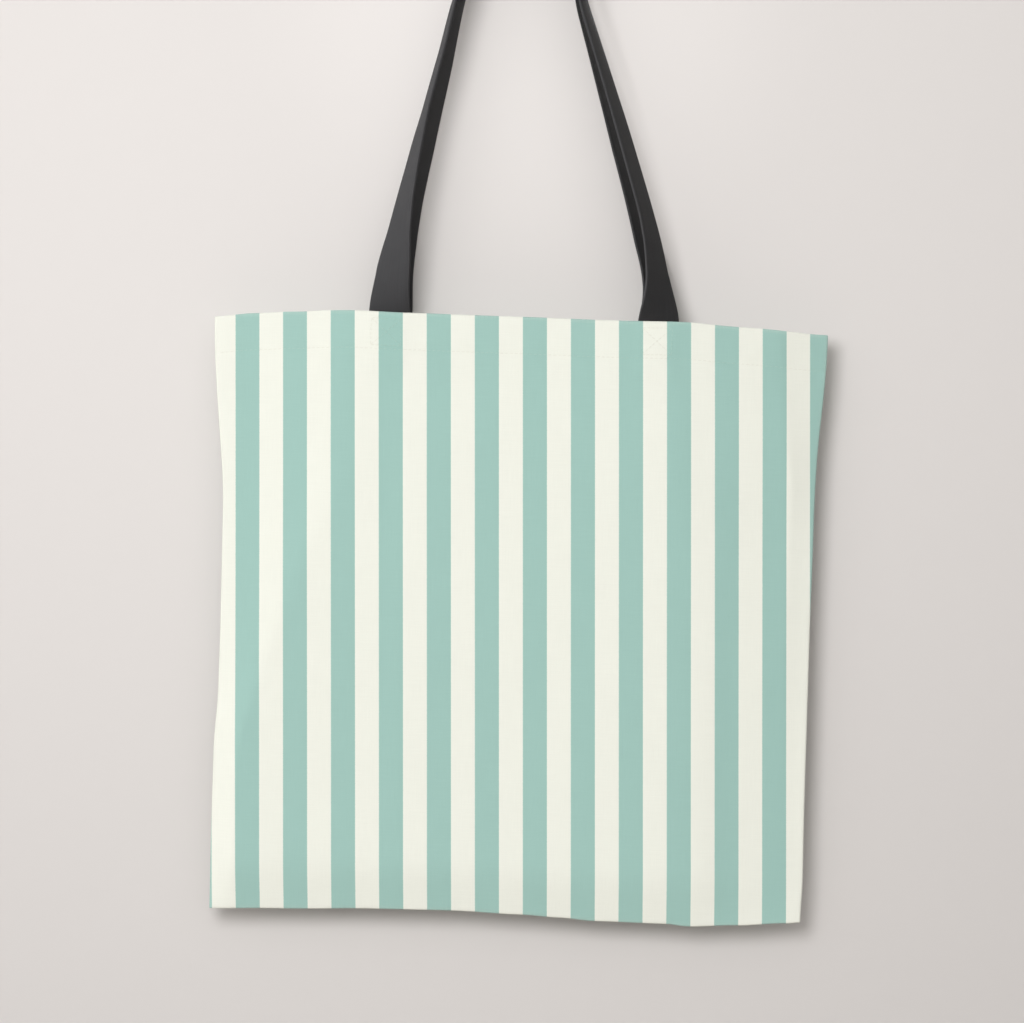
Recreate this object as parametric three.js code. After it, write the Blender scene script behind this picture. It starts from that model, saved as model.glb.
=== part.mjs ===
// Striped canvas tote bag with two long flat handles, as it hangs from a peg by both handles.
//
// Frame: millimetres, +Z up, X across the bag, and the front of the bag faces -Y.
// The origin is on the underside of the handles at the top of their loops, midway between the
// two, where a peg or a shoulder carries the bag. Everything below it has a negative Z.
//
// Cloth pieces are thin closed solids that follow one surface, panelPoint(). A piece lies in the
// cloth at an offset from that surface, so hems, stitching and straps follow the panels.

import * as THREE from "three";

// ---- Driving dimensions ----------------------------------------------------------------------

// Bag body
const BAG_WIDTH = 367.6; // across the side seams, over most of the height
const BAG_HEIGHT = 373; // bottom edge to top edge, between the handles
const MOUTH_FLARE = 7.2; // how much further each side stands out at the mouth
const FLARE_DEPTH = 125; // depth below the mouth at which that flare has gone
const CORNER_DROOP = 6; // how far the top corners hang below the top edge
const HALF_DEPTH = 11; // bag's middle plane to a panel's middle surface, where the bag is fullest
const BOTTOM_TAPER = 80; // height over which the panels open out from the bottom seam
const FLAT_MARGIN = 7; // flat canvas beyond a strap's outer edge, before the panel curves in

// Cloth and thread
const CANVAS = 0.8; // thickness of the canvas
const THREAD = 0.5; // height of a row of stitches above the cloth
const STITCH_ROW_WIDTH = 0.8;
const GAP = 0.3; // clearance between pieces that touch on the real bag

// Seams and hems
const SEAM_ALLOWANCE = 10; // canvas turned in along the sides and the bottom
const OVERLOCK_WIDTH = 1.6; // bead of thread along a seam allowance's raw edge
const HEM_DEPTH = 25.4;
const HEM_STITCH_INSET = 2; // hem stitching to the hem's lower edge
const STITCH_END_INSET = 4; // end of a stitch row to the side seam

// Handles
const STRAP_WIDTH = 25.4;
const STRAP_THICKNESS = 2;
const FRONT_STRAP_X = 84; // centre line of the bag to the middle of each front strap
const BACK_STRAP_X = 82.5;
const STRAP_TAIL = 36; // length sewn inside the bag, below the top edge
const HANDLE_DROP = 292; // top edge of the bag to the peg
const PEG_RADIUS = 15; // inner radius of the loops where the peg carries them
const LOOP_SPACING = 2.4; // space between the two loops, side by side on the peg
const LEG_LEAN = 16; // degrees that a leg leans from upright where it meets the peg
const LEG_RISE = 60; // how far a leg tends straight up from the bag before it leans in
const LEG_REACH = 80; // straight stretch of a leg just below the peg
const TACK_WIDTH = 19; // square of stitches that holds a strap
const TACK_HEIGHT = 17;
const TACK_BELOW_EDGE = 4;

// A strap turns from lying flat on the panel to standing on edge at the peg. Part of the turn
// dies away over "run" millimetres, and the rest is spread evenly over the leg.
const FRONT_TWIST = { early: 1, run: 58 };
const BACK_TWIST = { early: 0.5, run: 40 };

// ---- Sizes worked out from them --------------------------------------------------------------

const FRONT = -1;
const BACK = 1;
const TOP_EDGE_Z = -HANDLE_DROP;
const BOTTOM_EDGE_Z = TOP_EDGE_Z - BAG_HEIGHT;
const HALF_WIDTH = BAG_WIDTH / 2;
const EDGE_HALF_DEPTH = CANVAS + GAP + CANVAS / 2; // both seam layers, then half a panel
const FLAT_HALF_WIDTH = FRONT_STRAP_X + STRAP_WIDTH / 2 + FLAT_MARGIN;
const OVERLOCK_START = SEAM_ALLOWANCE + GAP;
const OVERLOCK_END = OVERLOCK_START + OVERLOCK_WIDTH;
const HEM_OFFSET = -(CANVAS + GAP); // hem's middle surface, from the panel's
const STRAP_OFFSET = HEM_OFFSET - CANVAS / 2 - GAP - STRAP_THICKNESS / 2;
const THREAD_OFFSET = CANVAS / 2 + GAP + THREAD / 2;
const STRAP_SEAT_Y = HALF_DEPTH + STRAP_OFFSET; // middle plane of the bag to a strap
const LOOP_Y = (STRAP_WIDTH + LOOP_SPACING) / 2; // middle plane of the bag to a loop on the peg
const LOOP_RADIUS = PEG_RADIUS + STRAP_THICKNESS / 2;

// ---- Materials -------------------------------------------------------------------------------

function fabric(color, roughness) {
  return new THREE.MeshStandardMaterial({ color, roughness, metalness: 0 });
}

const PRINTED_CANVAS = fabric(0xcfe0d6, 0.85);
const PLAIN_CANVAS = fabric(0xf2f3e6, 0.9);
const HANDLE_WEBBING = fabric(0x38383a, 0.75);
const THREAD_FINISH = fabric(0xf4f3e8, 0.6);

// ---- The bag's surface -----------------------------------------------------------------------

const { smoothstep } = THREE.MathUtils;

function halfWidthAt(depth) {
  return HALF_WIDTH + MOUTH_FLARE * (1 - smoothstep(depth, 0, FLARE_DEPTH));
}

function halfDepthAt(x, depth) {
  const edge = halfWidthAt(depth);
  const side = smoothstep(edge - Math.abs(x), 0, edge - FLAT_HALF_WIDTH);
  const bottom = smoothstep(BAG_HEIGHT - depth, 0, BOTTOM_TAPER);
  return EDGE_HALF_DEPTH + (HALF_DEPTH - EDGE_HALF_DEPTH) * side * bottom;
}

function heightAt(x, depth) {
  const droop = CORNER_DROOP * smoothstep(Math.abs(x), FLAT_HALF_WIDTH, HALF_WIDTH);
  const fade = 1 - smoothstep(depth, 0, BAG_HEIGHT - BOTTOM_TAPER);
  return TOP_EDGE_Z - depth - droop * fade;
}

// A point of the front or back panel's middle surface.
function surfacePoint(side, x, depth) {
  return new THREE.Vector3(x, side * halfDepthAt(x, depth), heightAt(x, depth));
}

// The same point moved out of the bag by offset, square to the surface.
function panelPoint(side, x, depth, offset) {
  const step = 0.5;
  const point = surfacePoint(side, x, depth);
  const across = surfacePoint(side, x + step, depth).sub(surfacePoint(side, x - step, depth));
  const down = surfacePoint(side, x, depth + step).sub(surfacePoint(side, x, depth - step));
  const normal = across.cross(down).normalize();
  if (normal.y * side < 0) normal.negate();
  return point.addScaledVector(normal, offset);
}

// ---- Helpers ---------------------------------------------------------------------------------

const tote = new THREE.Group();

function addMesh(name, geometry, material) {
  const mesh = new THREE.Mesh(geometry, material);
  mesh.name = name;
  tote.add(mesh);
  return mesh;
}

// A box of columns by rows cells, bent to place(across, through, along), where across and along
// run from 0 to 1 and through from -0.5 to 0.5.
function bentSlab(columns, rows, place) {
  const geometry = new THREE.BoxGeometry(1, 1, 1, columns, 1, rows);
  const position = geometry.attributes.position;
  for (let i = 0; i < position.count; i++) {
    const across = position.getX(i) + 0.5;
    const through = position.getY(i);
    const along = position.getZ(i) + 0.5;
    const p = place(across, through, along);
    position.setXYZ(i, p.x, p.y, p.z);
  }
  geometry.computeVertexNormals();
  return geometry;
}

// A band of cloth across one panel, from depth top to depth bottom, ending inset short of the
// side seams.
function clothBand(side, { top, bottom, inset, offset, thickness, columns, rows }) {
  return bentSlab(columns, rows, (across, through, along) => {
    const depth = bottom + (top - bottom) * along;
    const reach = halfWidthAt(depth) - inset;
    const x = side * (2 * across - 1) * reach;
    return panelPoint(side, x, depth, offset + through * thickness);
  });
}

// ---- Panels, hems and their stitching --------------------------------------------------------

function addPanel(name, side) {
  const shape = {
    top: 0,
    bottom: BAG_HEIGHT,
    inset: 0,
    offset: 0,
    thickness: CANVAS,
    columns: 28,
    rows: 20,
  };
  addMesh(name, clothBand(side, shape), PRINTED_CANVAS);
}

function addHem(name, side) {
  const shape = {
    top: 0,
    bottom: HEM_DEPTH,
    inset: OVERLOCK_END + GAP,
    offset: HEM_OFFSET,
    thickness: CANVAS,
    columns: 28,
    rows: 2,
  };
  addMesh(name, clothBand(side, shape), PRINTED_CANVAS);
}

function addHemStitching(name, side) {
  const bottom = HEM_DEPTH - HEM_STITCH_INSET;
  const shape = {
    top: bottom - STITCH_ROW_WIDTH,
    bottom,
    inset: STITCH_END_INSET,
    offset: THREAD_OFFSET,
    thickness: THREAD,
    columns: 28,
    rows: 1,
  };
  addMesh(name, clothBand(side, shape), THREAD_FINISH);
}

// ---- Seams -----------------------------------------------------------------------------------

// A strip down one side between the two panels, from inset outer to inset inner off the edge.
function sideStrip(direction, outer, inner, bottomDepth) {
  const rows = 16;
  const [first, last] = direction > 0 ? [inner, outer] : [outer, inner];
  return bentSlab(1, rows, (across, through, along) => {
    const depth = bottomDepth * (1 - along);
    const inset = first + (last - first) * across;
    const x = direction * (halfWidthAt(depth) - inset);
    return new THREE.Vector3(x, through * 2 * CANVAS, heightAt(x, depth));
  });
}

function addSideSeam(name, direction) {
  addMesh(`${name}_seam`, sideStrip(direction, 0, SEAM_ALLOWANCE, BAG_HEIGHT), PLAIN_CANVAS);
  const overlockEnd = BAG_HEIGHT - OVERLOCK_END - GAP;
  const bead = sideStrip(direction, OVERLOCK_START, OVERLOCK_END, overlockEnd);
  addMesh(`${name}_seam_overlock`, bead, THREAD_FINISH);
}

function addBottomSeam() {
  const reach = HALF_WIDTH - SEAM_ALLOWANCE - GAP;
  const seam = new THREE.BoxGeometry(2 * reach, 2 * CANVAS, SEAM_ALLOWANCE);
  const seamMesh = addMesh("bottom_seam", seam, PLAIN_CANVAS);
  seamMesh.position.z = BOTTOM_EDGE_Z + SEAM_ALLOWANCE / 2;

  const bead = new THREE.BoxGeometry(2 * reach, 2 * CANVAS, OVERLOCK_WIDTH);
  const beadMesh = addMesh("bottom_seam_overlock", bead, THREAD_FINISH);
  beadMesh.position.z = BOTTOM_EDGE_Z + OVERLOCK_START + OVERLOCK_WIDTH / 2;
}

// ---- Straps ----------------------------------------------------------------------------------

function addStrapEnd(name, side, x) {
  const end = new THREE.BoxGeometry(STRAP_WIDTH, STRAP_THICKNESS, STRAP_TAIL);
  const mesh = addMesh(name, end, HANDLE_WEBBING);
  mesh.position.set(x, side * STRAP_SEAT_Y, TOP_EDGE_Z - STRAP_TAIL / 2);
}

// The square of stitches through a strap end, hem and panel, where it shows on the outside.
function addTack(name, side, x) {
  const halfWidth = TACK_WIDTH / 2;
  const halfHeight = TACK_HEIGHT / 2;
  const outline = new THREE.Shape();
  outline.moveTo(-halfWidth, -halfHeight);
  outline.lineTo(halfWidth, -halfHeight);
  outline.lineTo(halfWidth, halfHeight);
  outline.lineTo(-halfWidth, halfHeight);
  const innerWidth = halfWidth - STITCH_ROW_WIDTH;
  const innerHeight = halfHeight - STITCH_ROW_WIDTH;
  const hole = new THREE.Path();
  hole.moveTo(-innerWidth, -innerHeight);
  hole.lineTo(-innerWidth, innerHeight);
  hole.lineTo(innerWidth, innerHeight);
  hole.lineTo(innerWidth, -innerHeight);
  outline.holes.push(hole);
  const ring = new THREE.ExtrudeGeometry(outline, { depth: THREAD, bevelEnabled: false });
  ring.translate(0, 0, -THREAD / 2);
  ring.rotateX(Math.PI / 2);
  const mesh = addMesh(name, ring, THREAD_FINISH);
  const z = TOP_EDGE_Z - TACK_BELOW_EDGE - halfHeight;
  mesh.position.set(x, side * (HALF_DEPTH + THREAD_OFFSET), z);
}

// The middle line of a handle in the XZ plane: up one leg, over the peg and down the other.
function handlePath(strapX) {
  const lean = THREE.MathUtils.degToRad(LEG_LEAN);
  const pegZ = -PEG_RADIUS;
  const top = new THREE.Vector2(
    LOOP_RADIUS * Math.cos(lean),
    pegZ + LOOP_RADIUS * Math.sin(lean),
  );
  const base = new THREE.Vector2(strapX, TOP_EDGE_Z + GAP);
  const rise = new THREE.Vector2(strapX, base.y + LEG_RISE);
  const reach = new THREE.Vector2(
    top.x + LEG_REACH * Math.sin(lean),
    top.y - LEG_REACH * Math.cos(lean),
  );
  const mirrored = (p) => new THREE.Vector2(-p.x, p.y);
  const path = new THREE.CurvePath();
  path.add(new THREE.CubicBezierCurve(base, rise, reach, top));
  path.add(new THREE.ArcCurve(0, pegZ, LOOP_RADIUS, lean, Math.PI - lean, false));
  path.add(new THREE.CubicBezierCurve(mirrored(top), mirrored(reach), mirrored(rise), mirrored(base)));
  return path;
}

// How far a strap has turned, in radians, at a distance from its end and on a leg of that length.
function twistAt(distance, legLength, { early, run }) {
  const along = Math.min(distance / legLength, 1);
  const quick = (1 - Math.exp(-along * legLength / run)) / (1 - Math.exp(-legLength / run));
  return (Math.PI / 2) * (early * quick + (1 - early) * along);
}

function addHandle(name, side, strapX, twist) {
  const path = handlePath(strapX);
  const length = path.getLength();
  const legLength = path.curves[0].getLength();
  const columns = 2;
  const rows = 110;
  const geometry = bentSlab(columns, rows, (across, through, along) => {
    const point = path.getPointAt(along);
    const slope = path.getTangentAt(along);
    const angle = twistAt(length * Math.min(along, 1 - along), legLength, twist);
    const y = side * (STRAP_SEAT_Y + (LOOP_Y - STRAP_SEAT_Y) * Math.sin(angle) ** 2);
    const tangent = new THREE.Vector3(slope.x, 0, slope.y);
    const width = new THREE.Vector3(slope.y, 0, -slope.x).multiplyScalar(Math.cos(angle));
    width.y = -side * Math.sin(angle);
    const normal = tangent.clone().cross(width).normalize();
    return new THREE.Vector3(point.x, y, point.y)
      .addScaledVector(width, (across - 0.5) * STRAP_WIDTH)
      .addScaledVector(normal, through * STRAP_THICKNESS);
  });
  addMesh(name, geometry, HANDLE_WEBBING);
}

// ---- Assembly --------------------------------------------------------------------------------

for (const [name, side, strapX, twist] of [
  ["front", FRONT, FRONT_STRAP_X, FRONT_TWIST],
  ["back", BACK, BACK_STRAP_X, BACK_TWIST],
]) {
  addPanel(`${name}_panel`, side);
  addHem(`${name}_hem`, side);
  addHemStitching(`${name}_hem_stitching`, side);
  addStrapEnd(`${name}_left_strap_end`, side, -strapX);
  addStrapEnd(`${name}_right_strap_end`, side, strapX);
  addTack(`${name}_left_tack`, side, -strapX);
  addTack(`${name}_right_tack`, side, strapX);
  addHandle(`${name}_handle_strap`, side, strapX, twist);
}
addSideSeam("left", -1);
addSideSeam("right", 1);
addBottomSeam();

export default tote;
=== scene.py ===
# %% [markdown]
# # A striped canvas tote bag, hanging by its handles
#
# The bag is two rectangles of printed canvas, sewn together down the sides and along the
# bottom and hemmed at the top, with two long handles of flat webbing. It hangs against a pale
# wall. The measured model of the bag is loaded first, as a frame. Each cloth piece made here
# then takes the place of the plain solid that stands for it in that frame. The back's pieces, the
# seams and the tacks are hung on an empty for their body; the front canvas, the front hem thread
# and the handles are not.

# %% Load the frame
import math
import random

import bpy
import numpy as np
from mathutils import Matrix, Vector, noise


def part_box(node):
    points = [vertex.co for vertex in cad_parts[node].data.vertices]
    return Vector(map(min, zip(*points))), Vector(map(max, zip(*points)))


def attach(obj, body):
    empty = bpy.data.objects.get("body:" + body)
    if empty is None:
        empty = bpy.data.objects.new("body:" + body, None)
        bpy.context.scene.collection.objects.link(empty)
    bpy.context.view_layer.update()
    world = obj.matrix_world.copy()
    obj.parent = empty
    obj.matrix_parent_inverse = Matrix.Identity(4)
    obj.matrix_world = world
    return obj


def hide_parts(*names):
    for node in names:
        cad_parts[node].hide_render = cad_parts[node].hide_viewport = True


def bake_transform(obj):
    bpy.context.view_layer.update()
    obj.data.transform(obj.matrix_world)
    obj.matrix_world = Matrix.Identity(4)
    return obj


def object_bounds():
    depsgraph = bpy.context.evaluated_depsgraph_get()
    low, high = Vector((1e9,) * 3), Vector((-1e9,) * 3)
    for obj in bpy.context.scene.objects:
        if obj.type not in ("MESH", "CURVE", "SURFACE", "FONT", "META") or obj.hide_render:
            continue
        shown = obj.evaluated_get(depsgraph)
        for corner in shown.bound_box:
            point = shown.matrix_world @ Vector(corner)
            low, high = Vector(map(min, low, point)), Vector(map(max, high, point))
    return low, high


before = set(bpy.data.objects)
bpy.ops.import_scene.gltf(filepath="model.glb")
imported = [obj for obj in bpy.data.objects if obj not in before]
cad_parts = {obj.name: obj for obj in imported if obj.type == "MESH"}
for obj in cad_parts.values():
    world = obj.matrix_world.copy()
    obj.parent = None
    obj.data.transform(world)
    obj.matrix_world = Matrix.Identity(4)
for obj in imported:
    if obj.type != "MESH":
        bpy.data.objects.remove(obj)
cad_bounds = [list(corner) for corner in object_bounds()]
print("box of the bag:", [[round(v, 4) for v in corner] for corner in cad_bounds])

# %% [markdown]
# ## Sizes
#
# Everything is in metres: x runs across the bag, z is up, and the front faces -y. Heights are
# easier to think of as depths below the top edge, because a bag hangs from there. The large
# sizes are read from the frame's boxes, so the cloth fits its measured solids. The small ones,
# such as the thickness of a thread, belong to the cloth.

# %% Sizes of the bag
MM = 0.001
FRONT, BACK = -1, 1
panel_low, panel_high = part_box("front_panel")
TOP_Z = panel_high.z
BAG_HEIGHT = panel_high.z - panel_low.z
MOUTH_HALF_WIDTH = panel_high.x
SEAM_INSET = 10.3 * MM  # the bottom seam stops this far inside each side seam
HALF_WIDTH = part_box("bottom_seam")[1].x + SEAM_INSET
FLARE_DEPTH = 125 * MM
CORNER_DROOP = 6 * MM
FLAT_HALF_WIDTH = 103.7 * MM  # the straps pull this much of the panel flat
CANVAS = 0.8 * MM
HALF_DEPTH = -panel_low.y - CANVAS / 2
EDGE_HALF_DEPTH = 1.5 * MM
HEM_DEPTH = 25.4 * MM
print("top edge", round(TOP_Z, 4), "height", round(BAG_HEIGHT, 4))
print("half width", round(HALF_WIDTH, 4))

# %% [markdown]
# ## Camera
#
# The bag is seen straight on, from two metres away, with a long lens, so that it hardly gets
# smaller with distance. The camera is rolled a little, because the bag hangs slightly askew,
# and it stands low enough for the handles to run out of the top of the view.

# %% Camera
ROLL = math.radians(1.65)
VIEW_CENTRE = Vector((-2.7 * MM, 0, TOP_Z - 120.9 * MM))
VIEW_WIDTH = 0.6349  # what the view takes in, at the front of the bag
CAMERA_DISTANCE = 2.0

camera_data = bpy.data.cameras.new("camera")
camera_data.lens_unit = "FOV"
camera_data.angle = 2 * math.atan(VIEW_WIDTH / 2 / CAMERA_DISTANCE)
camera = bpy.data.objects.new("camera", camera_data)
bpy.context.scene.collection.objects.link(camera)
right = Vector((math.cos(ROLL), 0, math.sin(ROLL)))
up = Vector((-math.sin(ROLL), 0, math.cos(ROLL)))
stand = VIEW_CENTRE + Vector((0, -HALF_DEPTH - CAMERA_DISTANCE, 0))
turned = Matrix((right, up, (0, -1, 0))).transposed().to_4x4()
camera.matrix_world = Matrix.Translation(stand) @ turned
bpy.context.scene.camera = camera
print("field of view", round(math.degrees(camera_data.angle), 2), "degrees")

# %% [markdown]
# ## Node helpers
#
# A finish is a small network of nodes. These helpers add a node, join it up and return what it
# gives, so that each finish below reads as a list of steps.

# %% Node helpers
def new_material(name):
    material = bpy.data.materials.new(name)
    material.use_nodes = True
    material.node_tree.nodes.clear()
    return material, material.node_tree


def add_node(tree, kind, inputs=(), **settings):
    """Adds a node. Each input is a value, or an output of another node."""
    node = tree.nodes.new(kind)
    for key, value in settings.items():
        setattr(node, key, value)
    for key, value in dict(inputs).items():
        if isinstance(value, bpy.types.NodeSocket):
            tree.links.new(value, node.inputs[key])
        else:
            node.inputs[key].default_value = value
    return node


def math_node(tree, operation, *values):
    node = add_node(tree, "ShaderNodeMath", dict(enumerate(values)), operation=operation)
    return node.outputs[0]


def add_share(tree, value, extra, share, shift=0.0):
    """value + extra * share + shift"""
    return math_node(tree, "ADD", value, math_node(tree, "MULTIPLY_ADD", extra, share, shift))


def axis_of(tree, vector, axis):
    return add_node(tree, "ShaderNodeSeparateXYZ", {"Vector": vector}).outputs[axis]


def mix_colours(tree, factor, a, b, blend="MIX"):
    node = add_node(tree, "ShaderNodeMix", data_type="RGBA", blend_type=blend)
    for index, value in ((0, factor), (6, a), (7, b)):
        if isinstance(value, bpy.types.NodeSocket):
            tree.links.new(value, node.inputs[index])
        else:
            node.inputs[index].default_value = value
    return node.outputs[2]


def dim(tree, colour, shade):
    """The colour multiplied by shade, where 1 leaves it as it is."""
    grey = add_node(tree, "ShaderNodeCombineColor", {"Red": shade, "Green": shade, "Blue": shade})
    return mix_colours(tree, 1.0, colour, grey.outputs["Color"], blend="MULTIPLY")


def map_range(tree, value, from_min, from_max, to_min, to_max, smooth=False):
    node = add_node(
        tree,
        "ShaderNodeMapRange",
        {
            "Value": value,
            "From Min": from_min,
            "From Max": from_max,
            "To Min": to_min,
            "To Max": to_max,
        },
        interpolation_type="SMOOTHSTEP" if smooth else "LINEAR",
    )
    return node.outputs["Result"]


def noise_value(tree, vector, scale, detail=2.0):
    node = add_node(tree, "ShaderNodeTexNoise", {"Vector": vector, "Scale": scale, "Detail": detail})
    return node.outputs["Fac"]


def stretched(tree, vector, scale):
    node = add_node(tree, "ShaderNodeMapping", {"Vector": vector, "Scale": scale})
    return node.outputs["Vector"]


def finish_material(tree, shader):
    output = add_node(tree, "ShaderNodeOutputMaterial")
    tree.links.new(shader, output.inputs["Surface"])


# %% [markdown]
# ## A woven surface
#
# Canvas is a plain weave: each warp thread goes over one weft thread and under the next. Seen
# close, it is a chequerboard of little pillows, which lie along the warp in one square and
# across it in the next. The sum below makes the height of those pillows from a position on
# the cloth, and a bump node turns it into light and shade. The finishes also use that height in
# the colour, as painted shade: the hollows between the threads are painted darker and the crowns
# lighter. The same sum serves the bag and the handles, with its own thread spacing for each.

# %% Weave height
def thread_ridge(tree, place):
    """A row of half-round threads, one for each whole number of place."""
    return math_node(tree, "ABSOLUTE", math_node(tree, "SINE", math_node(tree, "MULTIPLY", place, math.pi)))


def weave_height(tree, vector, warp_pitch, weft_pitch):
    """Height from 0 to 1 of a plain weave, for a position on the cloth in metres."""
    across = math_node(tree, "DIVIDE", axis_of(tree, vector, "X"), warp_pitch)
    along = math_node(tree, "DIVIDE", axis_of(tree, vector, "Y"), weft_pitch)
    warp = thread_ridge(tree, across)
    weft = thread_ridge(tree, along)
    square = math_node(tree, "ADD", math_node(tree, "FLOOR", across), math_node(tree, "FLOOR", along))
    odd = math_node(tree, "FLOORED_MODULO", square, 2.0)
    half_warp = math_node(tree, "MULTIPLY_ADD", warp, 0.5, 0.5)
    half_weft = math_node(tree, "MULTIPLY_ADD", weft, 0.5, 0.5)
    warp_on_top = math_node(tree, "MULTIPLY", warp, half_weft)
    weft_on_top = math_node(tree, "MULTIPLY", weft, half_warp)
    swap = add_node(tree, "ShaderNodeMix", {0: odd, 2: warp_on_top, 3: weft_on_top}, data_type="FLOAT")
    return swap.outputs[0]


# %% [markdown]
# ## Printed canvas
#
# The stripes are printed on the cloth, not woven into it. So the pattern follows the cloth's
# own map, which holds each point's place on the flat cut sheet, in metres. An image could carry
# the print, but a repeat worked out from the map stays sharp at any distance. The print isn't
# quite square with the bag, so a Mapping node turns the pattern by a degree or two. The ink
# stops a bit raggedly at the threads.

# %% Stripes of the print
CREAM = (0.838, 0.856, 0.776, 1)
MINT = (0.343, 0.546, 0.496, 1)
BARE_CANVAS = (0.815, 0.800, 0.735, 1)
STRIPE_PERIOD = 29.79 * MM
STRIPE_WIDTH = 14.95 * MM
FIRST_STRIPE = 14.2 * MM
RAGGED_EDGE = 0.18 * MM


def stripes(tree, cloth):
    """1 on a mint stripe and 0 on cream, for a position on the cloth in metres."""
    turned = add_node(
        tree,
        "ShaderNodeMapping",
        {
            "Vector": cloth,
            "Location": (-VIEW_CENTRE.x * math.cos(ROLL) - VIEW_CENTRE.z * math.sin(ROLL), 0, 0),
            "Rotation": (0, 0, -ROLL),
        },
    ).outputs["Vector"]
    ragged = noise_value(tree, stretched(tree, cloth, (2200, 1600, 1)), 1.0, 1.0)
    print_x = add_share(tree, axis_of(tree, turned, "X"), ragged, 2 * RAGGED_EDGE, -RAGGED_EDGE)
    shifted = math_node(tree, "SUBTRACT", print_x, FIRST_STRIPE - STRIPE_PERIOD / 2)
    within = math_node(tree, "FLOORED_MODULO", shifted, STRIPE_PERIOD)
    from_middle = math_node(tree, "ABSOLUTE", math_node(tree, "SUBTRACT", within, STRIPE_PERIOD / 2))
    edge = STRIPE_WIDTH / 2
    return map_range(tree, from_middle, edge - RAGGED_EDGE, edge + RAGGED_EDGE, 1.0, 0.0, smooth=True)


print("a stripe is", round(STRIPE_WIDTH / MM, 2), "mm of every", round(STRIPE_PERIOD / MM, 2))

# %% [markdown]
# Under the print, the cloth shows its slubs, the thicker stretches of each thread, and its weave,
# partly by bump and partly as painted shade, darker in the hollows between the threads.
# The ink wears off where the cloth is folded, and on the wrong side it shows through as a faint
# shadow. The wear comes from an attribute that each canvas piece carries. A real cloth also has
# fine fuzz, which here is a little noise in its bump and some sheen.

# %% Canvas finish
CANVAS_THREAD = 0.5 * MM
SLUBS_ACROSS, SLUBS_ALONG = 2000, 60  # noise waves in a metre, so slubs are thin and long
MOTTLE_SCALE, FUZZ_SCALE = 24.0, 3500.0
INK_WORN = 0.25
CANVAS_BUMP = 0.12 * MM


def canvas_material(name, ink):
    """Canvas whose stripes show at strength ink: 1 on the printed side, next to nothing inside."""
    material, tree = new_material(name)
    cloth = add_node(tree, "ShaderNodeUVMap", uv_map="cloth").outputs["UV"]
    stripe = stripes(tree, cloth)

    slub_warp = noise_value(tree, stretched(tree, cloth, (SLUBS_ACROSS, SLUBS_ALONG, 1)), 1.0)
    slub_weft = noise_value(tree, stretched(tree, cloth, (SLUBS_ALONG, SLUBS_ACROSS, 1)), 1.0)
    slubs = math_node(tree, "ADD", slub_warp, slub_weft)
    mottle = noise_value(tree, cloth, MOTTLE_SCALE, 3.0)
    weave = weave_height(tree, cloth, CANVAS_THREAD, CANVAS_THREAD * 1.1)
    shade = math_node(tree, "MULTIPLY_ADD", slubs, 0.05, 0.935)
    # Painted shade: the weave's hollows are painted darker and its crowns lighter; slubs and mottle are the
    # cloth's own tone.
    shade = add_share(tree, shade, weave, 0.05, -0.025)
    shade = add_share(tree, shade, mottle, 0.03, -0.015)

    worn = add_node(tree, "ShaderNodeAttribute", attribute_name="wear").outputs["Fac"]
    worn = math_node(tree, "MULTIPLY", worn, map_range(tree, slubs, 0.8, 1.2, 0.25, 0.9))
    colour = mix_colours(tree, stripe, CREAM, MINT)
    colour = mix_colours(tree, math_node(tree, "MULTIPLY", worn, INK_WORN), colour, BARE_CANVAS)
    colour = mix_colours(tree, ink, BARE_CANVAS, colour)
    colour = dim(tree, colour, shade)

    height = add_share(tree, weave, slubs, 0.5)
    height = add_share(tree, height, noise_value(tree, cloth, FUZZ_SCALE), 0.25)
    bump = add_node(tree, "ShaderNodeBump", {"Height": height, "Strength": 0.45, "Distance": CANVAS_BUMP})
    shader = add_node(
        tree,
        "ShaderNodeBsdfPrincipled",
        {
            "Base Color": colour,
            "Roughness": map_range(tree, slubs, 0.6, 1.4, 0.92, 0.78),
            "Normal": bump.outputs["Normal"],
            "Specular IOR Level": 0.25,
            "Sheen Weight": 0.08,
            "Sheen Roughness": 0.5,
        },
    )
    finish_material(tree, shader.outputs["BSDF"])
    return material


PRINTED = canvas_material("printed_canvas", 1.0)
WRONG_SIDE = canvas_material("wrong_side_canvas", 0.09)
print("canvas finishes:", PRINTED.name, WRONG_SIDE.name)

# %% [markdown]
# ## Webbing
#
# The handles are a smooth charcoal webbing. It is woven in one narrow width, so its long edges
# are not cut but turned, as a thin raised cord of thread. The cord is painted paler, as a painted
# highlight along each edge. Its map runs across and along the strap, so the ribs follow it as
# it turns. Its gloss is kept low, as on cotton.

# %% Webbing finish
CHARCOAL = (0.0515, 0.0515, 0.054, 1)
SELVEDGE_HIGHLIGHT_CHARCOAL = (0.062, 0.062, 0.065, 1)
RIB_PITCH, PICK_PITCH = 0.75 * MM, 0.55 * MM
SELVEDGE_WIDTH, SELVEDGE_FADE = 1.1 * MM, 0.7 * MM
WEBBING_BUMP = 0.15 * MM
STRAP_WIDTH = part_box("front_left_strap_end")[1].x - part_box("front_left_strap_end")[0].x


def times(colour, factor):
    return tuple(factor * channel for channel in colour[:3]) + (1,)


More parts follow.
